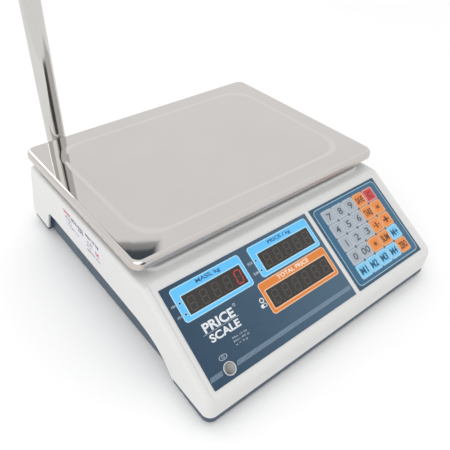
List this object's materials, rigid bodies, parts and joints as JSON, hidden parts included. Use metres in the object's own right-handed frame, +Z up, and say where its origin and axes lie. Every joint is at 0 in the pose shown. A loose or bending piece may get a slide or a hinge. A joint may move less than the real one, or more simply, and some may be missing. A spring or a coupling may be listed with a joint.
{
  "type": "retail price scale",
  "caption": "Counter price-computing scale: steel platter over a wedge case with display windows and keypad on the sloped front, mast with a customer display.",
  "frame": {"origin": "centre of the bounding box at the height of the surface the feet stand on", "axes": "+X to the seller's right, +Y from the keypad towards the customer, +Z up"},
  "size_m": [0.325, 0.368, 0.494],
  "materials": {
    "white_plastic": "fine-textured off-white ABS",
    "navy_plastic": "satin dark blue-grey ABS",
    "display_film": "printed dark navy film",
    "keypad_film": "printed mid-blue film",
    "grey_key": "printed grey key",
    "orange_key": "printed orange key",
    "sky_key": "printed light-blue key",
    "red_key": "printed red key",
    "polished_steel": "polished steel tube",
    "stainless_steel": "semi-polished stainless sheet",
    "zinc_steel": "zinc-plated steel",
    "cast_aluminium": "bead-blasted aluminium",
    "black_rubber": "black rubber",
    "black_plastic": "black moulded plastic",
    "smoked_window": "smoked clear window",
    "circuit_board": "green solder mask",
    "battery_case": "dark grey battery case",
    "level_vial": "clear vial in a pale ring"
  },
  "bodies": {
    "case": {"upper_housing": "white_plastic", "base_tray": "navy_plastic", "load_cell": "cast_aluminium", "load_cell_spacer": "cast_aluminium", "load_cell_bolt_front": "zinc_steel", "load_cell_bolt_rear": "zinc_steel", "overload_stop": "zinc_steel", "display_overlay": "display_film", "keypad_overlay": "keypad_film", "keypad_board": "circuit_board", "display_board": "circuit_board", "main_board": "circuit_board", "battery": "battery_case", "bubble_level": "level_vial", "power_switch_body": "black_plastic", "power_socket": "black_plastic", "mast_base": "zinc_steel", "mast_tube": "polished_steel"},
    "platform": {"platter_support": "cast_aluminium", "platter_pad_front_left": "black_rubber", "platter_pad_front_right": "black_rubber", "platter_pad_rear_left": "black_rubber", "platter_pad_rear_right": "black_rubber", "support_bolt_front": "zinc_steel", "support_bolt_rear": "zinc_steel"},
    "platter": {"platter": "stainless_steel"},
    "head": {"head_front_cover": "white_plastic", "head_back_cover": "white_plastic", "head_window": "smoked_window", "head_display": "circuit_board"},
    "power_rocker": {"power_rocker": "red_key"},
    "foot_front_left": {"foot_front_left": "black_rubber"},
    "foot_front_right": {"foot_front_right": "black_rubber"},
    "foot_rear_left": {"foot_rear_left": "black_rubber"},
    "foot_rear_right": {"foot_rear_right": "black_rubber"},
    "key_7": {"key_7": "grey_key"},
    "key_8": {"key_8": "grey_key"},
    "key_9": {"key_9": "grey_key"},
    "key_save": {"key_save": "orange_key"},
    "key_clear": {"key_clear": "red_key"},
    "key_4": {"key_4": "grey_key"},
    "key_5": {"key_5": "grey_key"},
    "key_6": {"key_6": "grey_key"},
    "key_tare": {"key_tare": "orange_key"},
    "key_multiply": {"key_multiply": "orange_key"},
    "key_1": {"key_1": "grey_key"},
    "key_2": {"key_2": "grey_key"},
    "key_3": {"key_3": "grey_key"},
    "key_divide": {"key_divide": "orange_key"},
    "key_plus": {"key_plus": "orange_key"},
    "key_0": {"key_0": "grey_key"},
    "key_00": {"key_00": "grey_key"},
    "key_star": {"key_star": "orange_key"},
    "key_total": {"key_total": "orange_key"},
    "key_m_plus": {"key_m_plus": "sky_key"},
    "key_m1": {"key_m1": "sky_key"},
    "key_m2": {"key_m2": "sky_key"},
    "key_m3": {"key_m3": "sky_key"},
    "key_m4": {"key_m4": "sky_key"},
    "key_zero": {"key_zero": "orange_key"}
  },
  "joints": [
    {"name": "weighing_travel", "type": "slide", "parent": "case", "child": "platform", "axis": [0, 0, -1], "range_m": [0, 0.0005], "stiffness_N_per_m": 250000, "springref_m": -0.00006},
    {"name": "platter_lift_off", "type": "slide", "parent": "platform", "child": "platter", "axis": [0, 0, 1], "range_m": [0, 0.06]},
    {"name": "head_swivel", "type": "hinge", "parent": "case", "child": "head", "pos_m": [-0.1181, 0.1695, 0.45], "axis": [0, 0, 1], "range_deg": [-90, 90]},
    {"name": "power_switch_rock", "type": "hinge", "parent": "case", "child": "power_rocker", "pos_m": [0.095, 0.17, 0.05417], "axis": [0, 0.3371, -0.9415], "range_deg": [0, 16]},
    {"name": "foot_front_left_screw", "type": "slide", "parent": "case", "child": "foot_front_left", "axis": [0, 0, -1], "range_m": [-0.002, 0.004]},
    {"name": "foot_front_right_screw", "type": "slide", "parent": "case", "child": "foot_front_right", "axis": [0, 0, -1], "range_m": [-0.002, 0.004]},
    {"name": "foot_rear_left_screw", "type": "slide", "parent": "case", "child": "foot_rear_left", "axis": [0, 0, -1], "range_m": [-0.002, 0.004]},
    {"name": "foot_rear_right_screw", "type": "slide", "parent": "case", "child": "foot_rear_right", "axis": [0, 0, -1], "range_m": [-0.002, 0.004]},
    {"name": "key_7_press", "type": "slide", "parent": "case", "child": "key_7", "axis": [0, 0.527, -0.8499], "range_m": [0, 0.0006], "stiffness_N_per_m": 3000, "springref_m": -0.0003},
    {"name": "key_8_press", "type": "slide", "parent": "case", "child": "key_8", "axis": [0, 0.527, -0.8499], "range_m": [0, 0.0006], "stiffness_N_per_m": 3000, "springref_m": -0.0003},
    {"name": "key_9_press", "type": "slide", "parent": "case", "child": "key_9", "axis": [0, 0.527, -0.8499], "range_m": [0, 0.0006], "stiffness_N_per_m": 3000, "springref_m": -0.0003},
    {"name": "key_save_press", "type": "slide", "parent": "case", "child": "key_save", "axis": [0, 0.527, -0.8499], "range_m": [0, 0.0006], "stiffness_N_per_m": 3000, "springref_m": -0.0003},
    {"name": "key_clear_press", "type": "slide", "parent": "case", "child": "key_clear", "axis": [0, 0.527, -0.8499], "range_m": [0, 0.0006], "stiffness_N_per_m": 3000, "springref_m": -0.0003},
    {"name": "key_4_press", "type": "slide", "parent": "case", "child": "key_4", "axis": [0, 0.527, -0.8499], "range_m": [0, 0.0006], "stiffness_N_per_m": 3000, "springref_m": -0.0003},
    {"name": "key_5_press", "type": "slide", "parent": "case", "child": "key_5", "axis": [0, 0.527, -0.8499], "range_m": [0, 0.0006], "stiffness_N_per_m": 3000, "springref_m": -0.0003},
    {"name": "key_6_press", "type": "slide", "parent": "case", "child": "key_6", "axis": [0, 0.527, -0.8499], "range_m": [0, 0.0006], "stiffness_N_per_m": 3000, "springref_m": -0.0003},
    {"name": "key_tare_press", "type": "slide", "parent": "case", "child": "key_tare", "axis": [0, 0.527, -0.8499], "range_m": [0, 0.0006], "stiffness_N_per_m": 3000, "springref_m": -0.0003},
    {"name": "key_multiply_press", "type": "slide", "parent": "case", "child": "key_multiply", "axis": [0, 0.527, -0.8499], "range_m": [0, 0.0006], "stiffness_N_per_m": 3000, "springref_m": -0.0003},
    {"name": "key_1_press", "type": "slide", "parent": "case", "child": "key_1", "axis": [0, 0.527, -0.8499], "range_m": [0, 0.0006], "stiffness_N_per_m": 3000, "springref_m": -0.0003},
    {"name": "key_2_press", "type": "slide", "parent": "case", "child": "key_2", "axis": [0, 0.527, -0.8499], "range_m": [0, 0.0006], "stiffness_N_per_m": 3000, "springref_m": -0.0003},
    {"name": "key_3_press", "type": "slide", "parent": "case", "child": "key_3", "axis": [0, 0.527, -0.8499], "range_m": [0, 0.0006], "stiffness_N_per_m": 3000, "springref_m": -0.0003},
    {"name": "key_divide_press", "type": "slide", "parent": "case", "child": "key_divide", "axis": [0, 0.527, -0.8499], "range_m": [0, 0.0006], "stiffness_N_per_m": 3000, "springref_m": -0.0003},
    {"name": "key_plus_press", "type": "slide", "parent": "case", "child": "key_plus", "axis": [0, 0.527, -0.8499], "range_m": [0, 0.0006], "stiffness_N_per_m": 3000, "springref_m": -0.0003},
    {"name": "key_0_press", "type": "slide", "parent": "case", "child": "key_0", "axis": [0, 0.527, -0.8499], "range_m": [0, 0.0006], "stiffness_N_per_m": 3000, "springref_m": -0.0003},
    {"name": "key_00_press", "type": "slide", "parent": "case", "child": "key_00", "axis": [0, 0.527, -0.8499], "range_m": [0, 0.0006], "stiffness_N_per_m": 3000, "springref_m": -0.0003},
    {"name": "key_star_press", "type": "slide", "parent": "case", "child": "key_star", "axis": [0, 0.527, -0.8499], "range_m": [0, 0.0006], "stiffness_N_per_m": 3000, "springref_m": -0.0003},
    {"name": "key_total_press", "type": "slide", "parent": "case", "child": "key_total", "axis": [0, 0.527, -0.8499], "range_m": [0, 0.0006], "stiffness_N_per_m": 3000, "springref_m": -0.0003},
    {"name": "key_m_plus_press", "type": "slide", "parent": "case", "child": "key_m_plus", "axis": [0, 0.527, -0.8499], "range_m": [0, 0.0006], "stiffness_N_per_m": 3000, "springref_m": -0.0003},
    {"name": "key_m1_press", "type": "slide", "parent": "case", "child": "key_m1", "axis": [0, 0.527, -0.8499], "range_m": [0, 0.0006], "stiffness_N_per_m": 3000, "springref_m": -0.0003},
    {"name": "key_m2_press", "type": "slide", "parent": "case", "child": "key_m2", "axis": [0, 0.527, -0.8499], "range_m": [0, 0.0006], "stiffness_N_per_m": 3000, "springref_m": -0.0003},
    {"name": "key_m3_press", "type": "slide", "parent": "case", "child": "key_m3", "axis": [0, 0.527, -0.8499], "range_m": [0, 0.0006], "stiffness_N_per_m": 3000, "springref_m": -0.0003},
    {"name": "key_m4_press", "type": "slide", "parent": "case", "child": "key_m4", "axis": [0, 0.527, -0.8499], "range_m": [0, 0.0006], "stiffness_N_per_m": 3000, "springref_m": -0.0003},
    {"name": "key_zero_press", "type": "slide", "parent": "case", "child": "key_zero", "axis": [0, 0.527, -0.8499], "range_m": [0, 0.0006], "stiffness_N_per_m": 3000, "springref_m": -0.0003}
  ]
}
